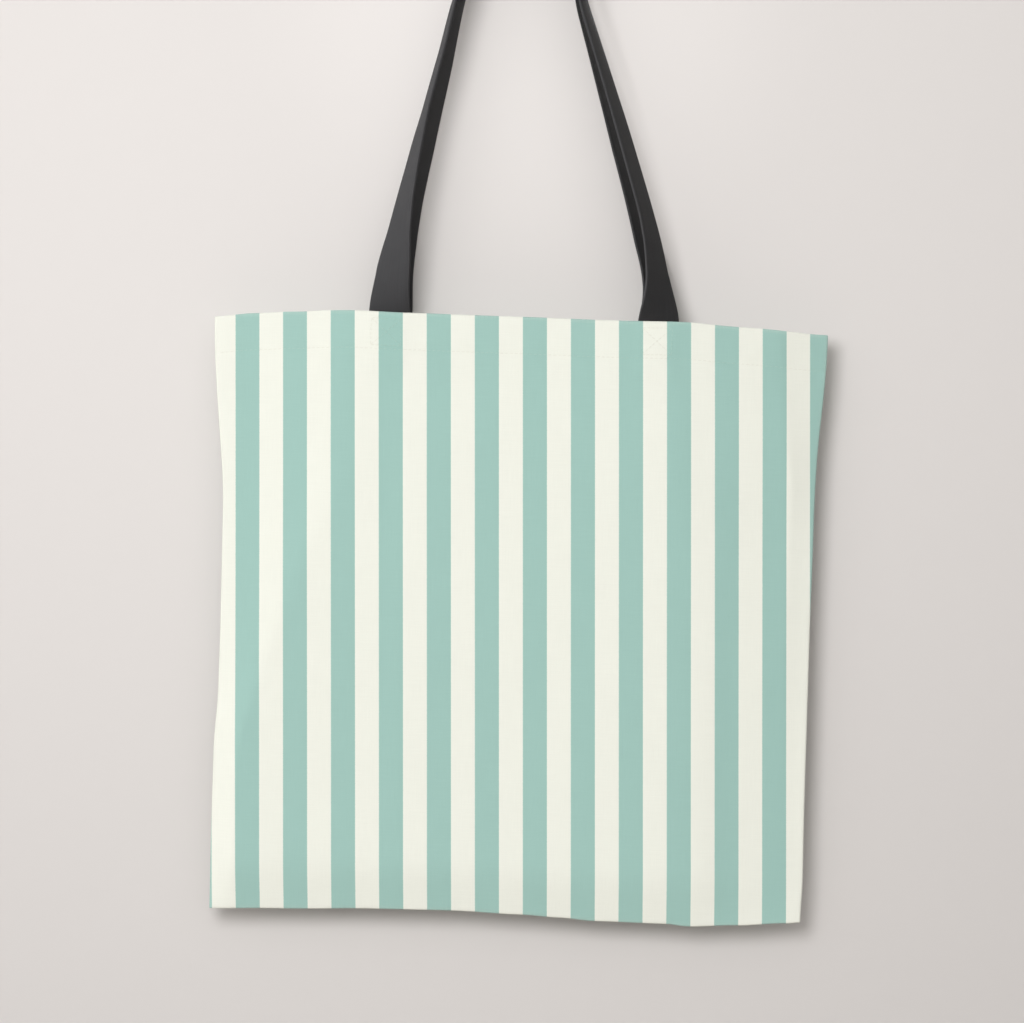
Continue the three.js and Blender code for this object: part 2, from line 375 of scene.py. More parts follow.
def webbing_material():
    material, tree = new_material("handle_webbing")
    cloth = add_node(tree, "ShaderNodeUVMap", uv_map="cloth").outputs["UV"]
    across = math_node(tree, "ABSOLUTE", axis_of(tree, cloth, "X"))
    inner = STRAP_WIDTH / 2 - SELVEDGE_WIDTH
    selvedge_and_highlight = map_range(tree, across, inner, inner + SELVEDGE_FADE, 0.0, 1.0, smooth=True)
    ribs = weave_height(tree, cloth, RIB_PITCH, PICK_PITCH)
    streaks = noise_value(tree, stretched(tree, cloth, (1500, 25, 1)), 1.0, 3.0)
    mottle = noise_value(tree, cloth, 60.0, 3.0)
    shade = add_share(tree, math_node(tree, "MULTIPLY", streaks, 0.5), mottle, 0.35)
    # Painted shade: the ribs' hollows are painted darker and their crowns lighter, through a darker and a
    # lighter copy of the charcoal; streaks and mottle are the webbing's own tone.
    shade = add_share(tree, shade, ribs, 0.25, -0.08)
    colour = mix_colours(tree, shade, times(CHARCOAL, 0.78), times(CHARCOAL, 1.24))
    # Painted highlight: the raised cord along each edge is painted paler.
    colour = mix_colours(tree, selvedge_and_highlight, colour, SELVEDGE_HIGHLIGHT_CHARCOAL)
    height = add_share(tree, ribs, streaks, 0.6)
    height = add_share(tree, height, selvedge_and_highlight, 0.8)
    bump = add_node(tree, "ShaderNodeBump", {"Height": height, "Strength": 0.4, "Distance": WEBBING_BUMP})
    shader = add_node(
        tree,
        "ShaderNodeBsdfPrincipled",
        {
            "Base Color": colour,
            "Roughness": map_range(tree, shade, 0.2, 0.8, 0.85, 0.7),
            "Normal": bump.outputs["Normal"],
            "Specular IOR Level": 0.05,
            "Sheen Weight": 0.02,
            "Sheen Roughness": 0.5,
        },
    )
    finish_material(tree, shader.outputs["BSDF"])
    return material


WEBBING = webbing_material()
print("webbing is", round(STRAP_WIDTH / MM, 1), "mm wide")

# %% [markdown]
# ## Sewing thread
#
# Cream cotton thread is two strands twisted together, so fine slanting bands run round
# it. The bands give the bump, and their grooves are also painted darker, as painted shade, through
# a shaded copy of each thread colour. The stitches are too small for a map of their own, and the
# bands read object coordinates.
# The thread of the hem and the tacks takes up the ink of the stripes, as on a bag that is printed
# after sewing, so it hardly shows. The overlock thread inside stays cream.

# %% Thread finish
COTTON, COTTON_SHADE = (0.80, 0.80, 0.72, 1), (0.70, 0.70, 0.62, 1)
INKED, INKED_SHADE = (0.410, 0.595, 0.540, 1), (0.350, 0.530, 0.480, 1)
THREAD_BUMP = 0.08 * MM


def thread_material(name, printed):
    material, tree = new_material(name)
    place = add_node(tree, "ShaderNodeTexCoord").outputs["Object"]
    twist = add_node(
        tree,
        "ShaderNodeTexWave",
        {"Vector": place, "Scale": 900.0, "Distortion": 1.5, "Detail": 1.0},
        wave_type="BANDS",
        bands_direction="DIAGONAL",
    ).outputs["Fac"]
    fluff = noise_value(tree, place, 2500.0)
    # Painted shade: the twist's grooves are painted darker, through a shaded copy of the thread colour; the
    # fluff is the thread's own tone.
    shade = add_share(tree, math_node(tree, "MULTIPLY", twist, 0.6), fluff, 0.4)
    colour = mix_colours(tree, shade, COTTON_SHADE, COTTON)
    if printed:
        x, z = axis_of(tree, place, "X"), axis_of(tree, place, "Z")
        flat = add_node(tree, "ShaderNodeCombineXYZ", {"X": x, "Y": z}).outputs["Vector"]
        inked = mix_colours(tree, shade, INKED_SHADE, INKED)
        colour = mix_colours(tree, stripes(tree, flat), colour, inked)
    bump = add_node(tree, "ShaderNodeBump", {"Height": shade, "Strength": 0.5, "Distance": THREAD_BUMP})
    shader = add_node(
        tree,
        "ShaderNodeBsdfPrincipled",
        {
            "Base Color": colour,
            "Roughness": map_range(tree, fluff, 0.2, 0.8, 0.5, 0.7),
            "Normal": bump.outputs["Normal"],
            "Sheen Weight": 0.15,
        },
    )
    finish_material(tree, shader.outputs["BSDF"])
    return material


THREAD = thread_material("cream_thread", False)
PRINTED_THREAD = thread_material("printed_thread", True)
print("thread finishes:", THREAD.name, PRINTED_THREAD.name)

# %% [markdown]
# ## The bag's surface
#
# The front and back are one shape, mirrored: a slack skin that stands a finger's width
# apart where the straps fill it, and closes to a thin edge at the seams. Before any
# cloth is cut, that skin is written as a few functions of x and depth. A drape could be left to
# a cloth simulation, but this bag hangs almost flat, and its few soft folds are easier to place
# one by one.

# %% Helpers for smooth shapes
def smooth(t):
    """0 up to 1 with level ends, for t from 0 to 1."""
    t = np.clip(t, 0, 1)
    return t * t * (3 - 2 * t)


def crease(t, softness):
    """Rises straight to 1 at t = 1 and stays there, with the corner rounded."""
    low, high = 1 - softness, 1 + softness
    rounded = t - (t - low) ** 2 / (4 * softness)
    return np.where(t < low, t, np.where(t > high, 1.0, rounded))


def through(points, value):
    """A smooth wave through (place, height) points given in millimetres."""
    places = np.array([p[0] for p in points]) * MM
    heights = np.array([p[1] for p in points]) * MM
    i = np.clip(np.searchsorted(places, value) - 1, 0, len(places) - 2)
    t = (value - places[i]) / (places[i + 1] - places[i])
    return heights[i] + (heights[i + 1] - heights[i]) * smooth(t)


def bell(distance, reach):
    return np.exp(-((distance / reach) ** 2))


# %% [markdown]
# ### Outline
#
# No hand-sewn edge is quite straight. The sides pinch in below the mouth, the bottom edge
# waves by a millimetre or two, and the top corners hang lower than the middle, which the straps
# hold up.

# %% Outline of a panel
LEFT_SIDE_DRIFT = (
    (0, 0.2), (58, -0.1), (123, -1.0), (200, -1.5), (235, -1.3), (275, 0.5), (320, 0.6), (373, 0.3),
)
RIGHT_SIDE_DRIFT = ((0, 0), (58, 0.1), (123, 1.7), (200, 1.1), (300, 0.9), (345, 1.2), (373, 0.4))
TOP_DRIFT = (
    (-192, 1.4), (-170, 3.2), (-150, 2.7), (-132, 1.6), (-110, 1.2), (-68, 0.5),
    (-2, 0), (59, -0.6), (97, -0.3), (119, -0.9), (164, 1.2), (192, 0.6),
)
BOTTOM_DRIFT = (
    (-185, 0.3), (-140, -0.8), (-81, -2.3), (-34, -2.5), (9, -1.2), (34, 0),
    (56, 1.5), (100, 2.0), (114, 3.2), (144, 1.7), (175, -0.4), (185, -1.3),
)


def half_width(depth, direction):
    flare = (MOUTH_HALF_WIDTH - HALF_WIDTH) * (1 - smooth(depth / FLARE_DEPTH))
    drift = np.where(direction < 0, through(LEFT_SIDE_DRIFT, depth), through(RIGHT_SIDE_DRIFT, depth))
    return HALF_WIDTH + flare + drift


def from_seam(x, depth):
    """How far a point lies inside the side seam nearest to it."""
    return half_width(depth, np.where(x < 0, -1, 1)) - abs(x)


def height(x, depth):
    """z of a point that lies depth below the top edge."""
    top = np.clip(1 - depth / (0.5 * BAG_HEIGHT), 0, 1)
    droop = CORNER_DROOP * smooth((abs(x) - FLAT_HALF_WIDTH) / (HALF_WIDTH - FLAT_HALF_WIDTH))
    bottom = smooth(depth / BAG_HEIGHT * 2 - 1)
    top_shift = (through(TOP_DRIFT, x) - droop) * smooth(top)
    return TOP_Z - depth + top_shift - through(BOTTOM_DRIFT, x) * bottom


print("half width at the mouth", half_width(np.array(0.0), np.array(1)))

# %% [markdown]
# ### Fullness and folds
#
# A fold of slack cloth runs from the left strap down to the side seam: to the left of it, the
# panel falls away in one flat plane. On the right, the panel leans back gently instead, with two
# soft steps in it. Across the hem, each strap end shows as a faint raised block, and the sewing
# line pulls the cloth in and puckers it.

# %% Fullness of a panel
STITCH_DEPTH = HEM_DEPTH - 2.4 * MM
STRAP_TAIL = TOP_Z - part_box("front_left_strap_end")[0].z
STRAP_X = {
    FRONT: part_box("front_right_strap_end")[1].x - STRAP_WIDTH / 2,
    BACK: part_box("back_right_strap_end")[1].x - STRAP_WIDTH / 2,
}
FOLD_REACH, FOLD_SPREAD, FOLD_END = 14 * MM, 78 * MM, 295 * MM
STEP_REACH, STEP_SPREAD, STEP_END = 15 * MM, 15 * MM, 110 * MM
TAPER, TAPER_END = 4 * MM, 330 * MM
BOTTOM_CREASE = 26 * MM
UPPER_STEP, LOWER_STEP, LEAN = 0.5 * MM, 0.8 * MM, 4.5 * MM


def ramp(value, start, length):
    """0 up to start, 1 from start + length on, and smooth between."""
    return smooth((value - start) / length)


def noise_at(x, depth, place):
    """The noise at place(x, depth), for each point of a cloth."""
    values = [noise.noise(Vector(place(float(a), float(b)))) for a, b in zip(x.ravel(), depth.ravel())]
    return np.array(values).reshape(x.shape)


def puckers(x, depth, seed):
    """Little ripples across the sewing line, fading above and below it."""
    ripple = noise_at(x, depth, lambda a, b: (a * 95, seed, b * 30))
    return ripple * bell(depth - STITCH_DEPTH, 11 * MM)


def slack(x, depth, seed):
    """Slow waves of the whole cloth."""
    return noise_at(x, depth, lambda a, b: (a * 11, seed + b * 5.5, 0))


def half_depth(x, depth, side):
    """From the middle plane of the bag to the middle of a panel's cloth."""
    direction = np.where(x < 0, -1, 1) * (1 if side == FRONT else -1)
    fold_reach = FOLD_REACH + FOLD_SPREAD * (1 - smooth(depth / FOLD_END))
    step_reach = STEP_REACH + STEP_SPREAD * (1 - smooth(depth / STEP_END))
    reach = np.where(direction < 0, fold_reach, step_reach)
    upper_start = 92 * MM + 25 * MM * (depth / (200 * MM)) ** 2
    upper_step = UPPER_STEP * ramp(abs(x), upper_start, 20 * MM) * (1 - ramp(depth, 120 * MM, 80 * MM))
    lower_step = LOWER_STEP * ramp(abs(x), 119 * MM, 22 * MM) * ramp(depth, 60 * MM, 90 * MM)
    lean = LEAN * ramp(abs(x), 96 * MM, 90 * MM)
    full = HALF_DEPTH - TAPER * smooth(depth / TAPER_END)
    full = full - np.where(direction > 0, upper_step + lower_step + lean, 0)
    bottom = crease((BAG_HEIGHT - depth) / BOTTOM_CREASE, 0.3)
    side_fall = crease(from_seam(x, depth) / reach, 0.12)
    return EDGE_HALF_DEPTH + (full - EDGE_HALF_DEPTH) * side_fall * bottom


def relief(x, depth, side):
    """Small shapes on a panel, outwards."""
    seed = 3.1 if side == FRONT else 8.7
    calm = smooth(from_seam(x, depth) / (25 * MM)) * smooth((BAG_HEIGHT - depth) / (30 * MM))
    out = 0.35 * MM * slack(x, depth, seed) * calm
    out += 0.45 * MM * ramp(x * -side, -83 * MM, 15 * MM) * ramp(depth, 30 * MM, 60 * MM) * calm
    out += 0.22 * MM * puckers(x, depth, seed)
    out -= 0.16 * MM * bell(depth - STITCH_DEPTH, 1.6 * MM)
    for strap_x in (-STRAP_X[side], STRAP_X[side]):
        block = smooth((STRAP_WIDTH / 2 + 1.5 * MM - abs(x - strap_x)) / (3 * MM))
        out += 0.25 * MM * block * smooth((STRAP_TAIL + 2 * MM - depth) / (4 * MM))
    return out


# %% [markdown]
# ## Cutting and bending cloth
#
# A cloth piece starts as a flat grid, the cut sheet, and each of its points is then
# carried to its place on the bag. Its flat position is kept as its map, so the weave and the
# print lie on the sheet as if laid there before it was bent. The grid has no thickness until a
# Solidify modifier gives it some. Its second face, the wrong side of the cloth, gets the second
# finish.

# %% Helpers for cloth
def deselect():
    if bpy.context.object and bpy.context.object.mode != "OBJECT":
        bpy.ops.object.mode_set(mode="OBJECT")
    bpy.ops.object.select_all(action="DESELECT")


def select_only(piece):
    deselect()
    bpy.context.view_layer.objects.active = piece
    piece.select_set(True)


def cut_sheet(name, columns, rows):
    """A flat grid of columns by rows cells. Returns it, with each point's column and row number."""
    deselect()
    bpy.ops.mesh.primitive_grid_add(
        x_subdivisions=columns, y_subdivisions=rows, size=1, location=(0, 0, 0)
    )
    sheet = bpy.context.object
    sheet.name = sheet.data.name = name
    flat = points_of(sheet)
    column = np.rint((flat[:, 0] + 0.5) * columns).astype(int)
    row = np.rint((flat[:, 1] + 0.5) * rows).astype(int)
    return sheet, column, row


def points_of(piece):
    points = np.zeros(len(piece.data.vertices) * 3)
    piece.data.vertices.foreach_get("co", points)
    return points.reshape(-1, 3)


def bend_to(sheet, points):
    sheet.data.vertices.foreach_set("co", np.asarray(points, float).ravel())
    sheet.data.update()


def map_cloth(sheet, u, v):
    """Keeps each point's flat position as the sheet's map, named cloth."""
    layers = sheet.data.uv_layers
    while layers:
        layers.remove(layers[0])
    layer = layers.new(name="cloth")
    corner = np.zeros(len(sheet.data.loops), int)
    sheet.data.loops.foreach_get("vertex_index", corner)
    layer.data.foreach_set("uv", np.stack([u[corner], v[corner]], axis=1).ravel())


def add_wear(piece, amount):
    attribute = piece.data.attributes.new("wear", "FLOAT", "POINT")
    attribute.data.foreach_set("value", amount.astype(np.float32))


def thicken(sheet, thickness, materials, bevel=0.0):
    """Gives a sheet its thickness, half on each side, and its finishes."""
    select_only(sheet)
    for material in materials:
        sheet.data.materials.append(material)
    solidify = sheet.modifiers.new("thickness", "SOLIDIFY")
    solidify.thickness = thickness
    solidify.offset = 0
    solidify.material_offset = len(materials) - 1
    bpy.ops.object.modifier_apply(modifier=solidify.name)
    if bevel:
        rounding = sheet.modifiers.new("rounding", "BEVEL")
        rounding.width = bevel
        rounding.segments = 2
        rounding.limit_method = "ANGLE"
        rounding.angle_limit = math.radians(50)
        bpy.ops.object.modifier_apply(modifier=rounding.name)
    bpy.ops.object.shade_smooth()


def sheet_area(piece):
    """Area of one face of a thickened sheet."""
    return sum(p.area for p in piece.data.polygons) / 2


# %% [markdown]
# ## Front and back panels
#
# Each panel is one piece of canvas with its hem: starting inside, at the hem's cut edge, it
# comes up to the mouth, rolls over, goes down the outside and turns in at the bottom
# seam. Its two long edges turn in at the side seams too. The rows and columns of the grid lie
# close together at the rolls and at the sewing line, where the cloth bends sharply, and
# further apart on the open panel.

# %% Rows and columns of a panel
FOLD_RADIUS = 0.55 * MM
FOLD_INSET = FOLD_RADIUS + CANVAS / 2
ROLL_STEPS = 6
WORN_WIDTH = 1.6 * MM


def spread(start, stop, step):
    count = max(1, int(round(abs(stop - start) / step)))
    return np.linspace(start, stop, count + 1)


def joined(*runs):
    out = list(runs[0])
    for run in runs[1:]:
        out += list(run[1:])
    return np.array(out)


ROLL_LENGTH = math.pi * FOLD_RADIUS
FLAT_HEM = HEM_DEPTH - FOLD_INSET + ROLL_LENGTH
panel_rows = joined(
    spread(FOLD_INSET - FLAT_HEM, FOLD_INSET - ROLL_LENGTH, 3 * MM),
    np.linspace(FOLD_INSET - ROLL_LENGTH, FOLD_INSET, ROLL_STEPS + 1),
    spread(FOLD_INSET, 18 * MM, 1.9 * MM),
    spread(18 * MM, 29 * MM, 0.9 * MM),
    spread(29 * MM, 45 * MM, 2 * MM),
    spread(45 * MM, BAG_HEIGHT - 40 * MM, 3.3 * MM),
    spread(BAG_HEIGHT - 40 * MM, BAG_HEIGHT - FOLD_INSET, 1.9 * MM),
    np.linspace(BAG_HEIGHT - FOLD_INSET, BAG_HEIGHT - FOLD_INSET + ROLL_LENGTH, ROLL_STEPS + 1),
)
half_columns = joined(spread(0, 0.9, 2.3 * MM / HALF_WIDTH), spread(0.9, 1, 1.5 * MM / HALF_WIDTH))
roll_angles = np.linspace(0, math.pi, ROLL_STEPS + 1)[1:]
panel_columns = np.concatenate([-half_columns[:0:-1], half_columns])
print(len(panel_rows), "rows and", len(panel_columns) + 2 * ROLL_STEPS, "columns")

# %% [markdown]
# Each row and column number gives a place on the cut sheet. It is carried first to an x and a
# depth on the bag's surface, then out to that surface, and last, for the hem, in along the
# surface's normal.

# %% Place of a point of a panel
def panel_place(side, share, turn, row_depth):
    """share runs from -1 to 1 across the panel, turn is the angle round the side seam's roll,
    and row_depth is measured along the cloth, negative inside the hem."""
    rolled = np.clip((FOLD_INSET - row_depth) / FOLD_RADIUS, 0, math.pi)
    tucked = np.clip((row_depth - (BAG_HEIGHT - FOLD_INSET)) / FOLD_RADIUS, 0, math.pi)
    below = np.clip(FOLD_INSET - ROLL_LENGTH - row_depth, 0, None)
    depth = np.clip(row_depth, FOLD_INSET, BAG_HEIGHT - FOLD_INSET)
    depth = depth - FOLD_RADIUS * np.sin(rolled) + below + FOLD_RADIUS * np.sin(tucked)
    direction = np.where(share < 0, -1, 1)
    radius = FOLD_RADIUS * np.clip(1 - rolled / math.pi, 0.06, 1)
    reach = half_width(depth, direction) - FOLD_INSET
    x = share * reach + direction * radius * np.sin(turn)
    flat_x = share * reach + direction * radius * turn
    drop = np.maximum(radius * (1 - np.cos(turn)), FOLD_RADIUS * (1 - np.cos(tucked)))
    offset = -FOLD_RADIUS * (1 - np.cos(rolled))
    return x, flat_x, depth, drop, offset


def surface_y(x, depth, side, hem):
    return half_depth(x, depth, side) + relief(x, depth, side) * np.where(hem, 0.6, 1.0)


def surface_slopes(x, depth, side, hem):
    """How much the surface moves out for each metre across and up, and the length of its normal."""
    step = 0.5 * MM
    across = surface_y(x + step, depth, side, hem) - surface_y(x - step, depth, side, hem)
    down = surface_y(x, depth + step, side, hem) - surface_y(x, np.abs(depth - step), side, hem)
    slope_x, slope_z = across / (2 * step), down / (-2 * step)
    return slope_x, slope_z, np.sqrt(1 + slope_x**2 + slope_z**2)


def make_panel(name, side):
    columns = len(panel_columns) - 1 + 2 * ROLL_STEPS
    rows = len(panel_rows) - 1
    sheet, column, row = cut_sheet(name, columns, rows)
    shares = np.concatenate([[-1.0] * ROLL_STEPS, panel_columns, [1.0] * ROLL_STEPS])
    turns = np.concatenate([roll_angles[::-1], np.zeros(len(panel_columns)), roll_angles])
    row_depth = panel_rows[rows - row]
    x, flat_x, depth, drop, offset = panel_place(side, shares[column], turns[column], row_depth)
    hem = row_depth < FOLD_INSET
    y = surface_y(x, depth, side, hem) - drop
    slope_x, slope_z, length = surface_slopes(x, depth, side, hem)
    away = side * (y + offset / length)
    z = height(x, depth)
    points = np.stack([x - offset * slope_x / length, away, z - offset * slope_z / length], axis=1)
    bend_to(sheet, points)
    above_fold = height(x, np.full_like(x, FOLD_INSET)) + FOLD_INSET - row_depth
    map_cloth(sheet, flat_x, np.where(hem, above_fold, z))
    edge = np.minimum(np.abs(row_depth - FOLD_INSET + ROLL_LENGTH / 2), from_seam(x, depth))
    edge = np.minimum(edge, np.abs(BAG_HEIGHT - depth))
    add_wear(sheet, np.clip(1 - edge / WORN_WIDTH, 0, 1))
    if side == BACK:
        select_only(sheet)
        bpy.ops.object.mode_set(mode="EDIT")
        bpy.ops.mesh.select_all(action="SELECT")
        bpy.ops.mesh.flip_normals()
        bpy.ops.object.mode_set(mode="OBJECT")
    return sheet


front_canvas = make_panel("front_canvas", FRONT)
back_canvas = make_panel("back_canvas", BACK)
for panel in (front_canvas, back_canvas):
    thicken(panel, CANVAS, [PRINTED, WRONG_SIDE])
    print(panel.name, len(panel.data.polygons), "faces,", round(sheet_area(panel), 4), "square metres")

# %% [markdown]
# ## The front's pieces
#
# The front panel swings forward from the bottom edge to open the mouth, but it stays sewn to
# the back along both sides, and its middle is pulled by the straps. Here the front's pieces only
# have their placing baked into their points; each point's distance from the middle line is
# worked out but not used, and the pieces are not hung on any body.

# %% Bake the front's pieces
def ride_on_front(piece):
    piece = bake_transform(piece)
    x = abs(points_of(piece)[:, 0])
    return piece


ride_on_front(front_canvas)
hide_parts("front_panel", "front_hem")
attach(back_canvas, "bag_back")
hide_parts("back_panel", "back_hem")

# %% [markdown]
# ## Handles
#
# Each handle is one length of webbing, whose two ends are sewn flat inside the bag. Its legs
# lean in to the peg and turn on their way up, from flat against the panel to standing
# on edge, where the loop goes over the peg. A flat strap is too stiff and too narrow to drape by
# simulation, so its middle line is drawn first: straight up out of the bag, a long lean, and
# half a circle at the top. The strip of webbing is then laid along that line, turning as it
# goes.

# %% Middle line of a handle
PEG_RADIUS = 15 * MM
STRAP_THICKNESS = 2 * MM
LOOP_RADIUS = PEG_RADIUS + STRAP_THICKNESS / 2
LEG_LEAN = math.radians(16)
LEG_RISE, LEG_REACH = 60 * MM, 80 * MM

# how far the straps' middles stand from the middle plane of the bag
LOOP_Y = {
    side: abs(sum(corner.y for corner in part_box(name)) / 2)
    for side, name in ((FRONT, "front_handle_strap"), (BACK, "back_handle_strap"))
}
STRAP_SEAT_Y = abs(sum(corner.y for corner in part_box("front_left_strap_end")) / 2)


def bezier(points, count=200):
    t = np.linspace(0, 1, count)[:, None]
    a, b, c, d = (np.array(p) for p in points)
    return a * (1 - t) ** 3 + 3 * b * t * (1 - t) ** 2 + 3 * c * t**2 * (1 - t) + d * t**3


def leg_line(strap_x):
    """From a strap's foot in the bag, up to where it meets the peg's circle, as x and z."""
    lean_x, lean_z = math.sin(LEG_LEAN), math.cos(LEG_LEAN)
    top = (LOOP_RADIUS * lean_z, -PEG_RADIUS + LOOP_RADIUS * lean_x)
    foot = (strap_x, TOP_Z)
    bend = (strap_x, TOP_Z + LEG_RISE)
    pull = (top[0] + LEG_REACH * lean_x, top[1] - LEG_REACH * lean_z)
    tail = [(strap_x, z) for z in np.linspace(TOP_Z - STRAP_TAIL, TOP_Z, 30)[:-1]]
    return np.concatenate([tail, bezier((foot, bend, pull, top))])


def even_steps(line, step):
    """The same line as points that are an even step apart, and their distances along it."""
    gaps = np.linalg.norm(np.diff(line, axis=0), axis=1)
    along = np.concatenate([[0], np.cumsum(gaps)])
    places = np.linspace(0, along[-1], int(round(along[-1] / step)) + 1)
    even = [np.interp(places, along, line[:, i]) for i in range(line.shape[1])]
    return np.stack(even, axis=1), places


# %% [markdown]
# The turn of each leg is given as an angle at a few distances above the mouth, and smoothed
# along the strap. Some legs turn almost at once and others slowly, as it happens when a bag is
# hung up by hand. The back handle was sewn on with half a turn in it, so both of its legs face
# the same way. The bag also hangs a little askew, so the legs sway to one side of the line that
# a level bag would give them.

# %% Turn and sway of each leg
TURNS = {
    (FRONT, -1): (
        (-3, 0), (1, 4), (15, 26), (34, 41), (52, 56), (71, 65),
        (90, 71), (108, 75), (127, 80), (180, 82), (290, 89),
    ),
    (FRONT, 1): (
        (-3, 0), (0, 10), (11, 37), (20, 50), (29, 57), (48, 64),
        (66, 68), (121, 71), (158, 74), (195, 76), (290, 89),
    ),
    (BACK, -1): (
        (-3, 0), (0, 4), (17, 20), (36, 36), (55, 50),
        (74, 60), (103, 69), (150, 74), (197, 80), (290, 89),
    ),
    (BACK, 1): (
        (-3, 0), (0, 10), (12, 33), (21, 44), (41, 54),
        (69, 60), (106, 66), (143, 70), (200, 76), (290, 89),
    ),
}
SWAYS = {
    (FRONT, -1): (
        (-34, 0), (0, 1.7), (33, 1.2), (52, 0.1), (71, -1.1), (108, -2.6), (164, -4.5), (193, -6.6),
    ),
    (FRONT, 1): (
        (-34, 0), (0, 0.8), (25, 1.6), (48, 1.4), (66, 0.5), (103, -2.3), (140, -4.8), (195, -7.6),
    ),
    (BACK, -1): (
        (-34, 0), (5, 1.3), (27, 0.2), (74, 1.0), (103, 1.5), (131, -0.1), (160, -1.6), (197, -4.8),
    ),
    (BACK, 1): (
        (-34, 0), (0, 3.5), (12, 3.3), (21, 3.1), (31, 2.4),
        (50, -0.7), (69, -2.5), (106, -5.5), (143, -7.2), (195, -8.7),
    ),
}
SWAY_END = ((228, -6.0), (258, -1.5), (280, 0))  # back to the peg
HANDLE_STEP = 2.0 * MM


def smoothed(values, width):
    """A running average over width steps, with the ends held."""
    padded = np.concatenate([[values[0]] * width, values, [values[-1]] * width])
    kernel = np.hanning(2 * width + 1)
    return np.convolve(padded, kernel / kernel.sum(), mode="same")[width:-width]


def handle_line(side):
    """Middle line of a whole handle from its left end to its right, and its turn in radians."""
    legs = {}
    for direction in (-1, 1):
        line = leg_line(STRAP_X[side])
        places, sway = np.array(SWAYS[(side, direction)] + SWAY_END).T * MM
        sway = smoothed(np.interp(line[:, 1] - TOP_Z, places, sway), 6)
        line[:, 0] = direction * line[:, 0] + sway
        legs[direction] = line
    angles = np.linspace(math.pi - LEG_LEAN, LEG_LEAN, 40)[1:-1]
    arc = np.stack([LOOP_RADIUS * np.cos(angles), -PEG_RADIUS + LOOP_RADIUS * np.sin(angles)], axis=1)
    line, along = even_steps(np.concatenate([legs[-1], arc, legs[1][::-1]]), HANDLE_STEP)
    turns = {}
    for direction in (-1, 1):
        places, angle = np.array(TURNS[(side, direction)]).T
        height_up = (along if direction < 0 else along[-1] - along) - STRAP_TAIL
        turns[direction] = np.interp(height_up, places * MM, np.radians(angle))
    if side == BACK:
        turns = {-1: -turns[-1], 1: turns[1] - math.pi}
    turn = np.where(along < along[-1] / 2, turns[-1], turns[1])
    return line, along, smoothed(turn, 4)


# %% [markdown]
# Along the strap, its middle moves out from its seat in the bag to its place on the peg as it
# turns. Webbing is never quite flat either: its edges curl a fraction of a millimetre, and its
# loose length wanders a little.

# %% Make the handles
HANDLE_CLOTH = 1.7 * MM
HANDLE_COLUMNS = 10
EDGE_CURL = 0.35 * MM
WANDER = 0.5 * MM


def make_handle(name, side):
    line, along, turn = handle_line(side)
    tangent = np.gradient(line, along, axis=0)
    tangent /= np.linalg.norm(tangent, axis=1)[:, None]
    seat = STRAP_SEAT_Y + (LOOP_Y[side] - STRAP_SEAT_Y) * np.sin(turn) ** 2
    sheet, column, row = cut_sheet(name, HANDLE_COLUMNS, len(line) - 1)
    across = np.linspace(-0.5, 0.5, HANDLE_COLUMNS + 1)[column] * STRAP_WIDTH
    curl = EDGE_CURL * (2 * across / STRAP_WIDTH) ** 2
    middle = np.stack([line[:, 0], side * seat, line[:, 1]], axis=1)[row]
    forward = np.stack([tangent[:, 0], 0 * along, tangent[:, 1]], axis=1)[row]
    flat = np.stack([tangent[:, 1], 0 * along, -tangent[:, 0]], axis=1)[row]
    turned = turn[row][:, None]
    width = flat * np.cos(turned) + np.array([0, -1, 0]) * np.sin(turned)
    normal = np.cross(forward, width)
    wander = np.array([noise.noise(Vector((float(a) * 14, side * 5.0, 0))) for a in along])[row]
    loose = smooth((middle[:, 2] - TOP_Z) / (60 * MM)) * smooth((-45 * MM - middle[:, 2]) / (60 * MM))
    points = middle + across[:, None] * width + (curl + WANDER * wander * loose)[:, None] * normal
    bend_to(sheet, points)
    map_cloth(sheet, across, along[row])
    thicken(sheet, HANDLE_CLOTH, [WEBBING], bevel=0.5 * MM)
    print(name, "is", round(along[-1], 3), "m long,", len(sheet.data.polygons), "faces")
    return sheet, along[-1]


for side, word in ((FRONT, "front"), (BACK, "back")):
    handle, handle_length = make_handle(f"{word}_handle_webbing", side)
    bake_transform(handle)
    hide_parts(f"{word}_handle_strap", f"{word}_left_strap_end", f"{word}_right_strap_end")

# %% [markdown]
# ## Stitches
#
# A lockstitch shows as a row of short slanting grains of thread, each diving into the cloth at
# both ends. One grain is modelled from a six-sided cylinder, cut into rings, with its end rings
# drawn in and pushed down. Every other stitch is a copy of it, laid along its line of sewing.
# The copies of one row make one piece.

# %% Model one stitch
STITCH_PITCH = 3.0 * MM
STITCH_LENGTH = 2.5 * MM
THREAD_RADIUS = 0.16 * MM
RING_PLACES = (-0.36, 0.0, 0.36)
STITCH_LIFT, STITCH_DIVE, STITCH_SHRINK = 0.08 * MM, 0.25 * MM, 0.45


def model_stitch():
    """One stitch along x, centred on the origin, with z out of the cloth."""
    deselect()
    bpy.ops.mesh.primitive_cylinder_add(
        vertices=6,
        radius=THREAD_RADIUS,
        depth=STITCH_LENGTH,
        location=(0, 0, 0),
        rotation=(0, math.pi / 2, 0),
    )
    stitch = bpy.context.object
    bpy.ops.object.transform_apply(location=True, rotation=True, scale=True)
    bpy.ops.object.mode_set(mode="EDIT")
    for cut in RING_PLACES:
        bpy.ops.mesh.select_all(action="SELECT")
        bpy.ops.mesh.bisect(plane_co=(cut * STITCH_LENGTH, 0, 0), plane_no=(1, 0, 0))
    bpy.ops.object.mode_set(mode="OBJECT")
    for point in stitch.data.vertices:
        end = abs(point.co.x) / (STITCH_LENGTH / 2)
        shrink = 1 - STITCH_SHRINK * end**3
        point.co.y *= shrink
        point.co.z = point.co.z * shrink + STITCH_LIFT - STITCH_DIVE * end**2
    return stitch


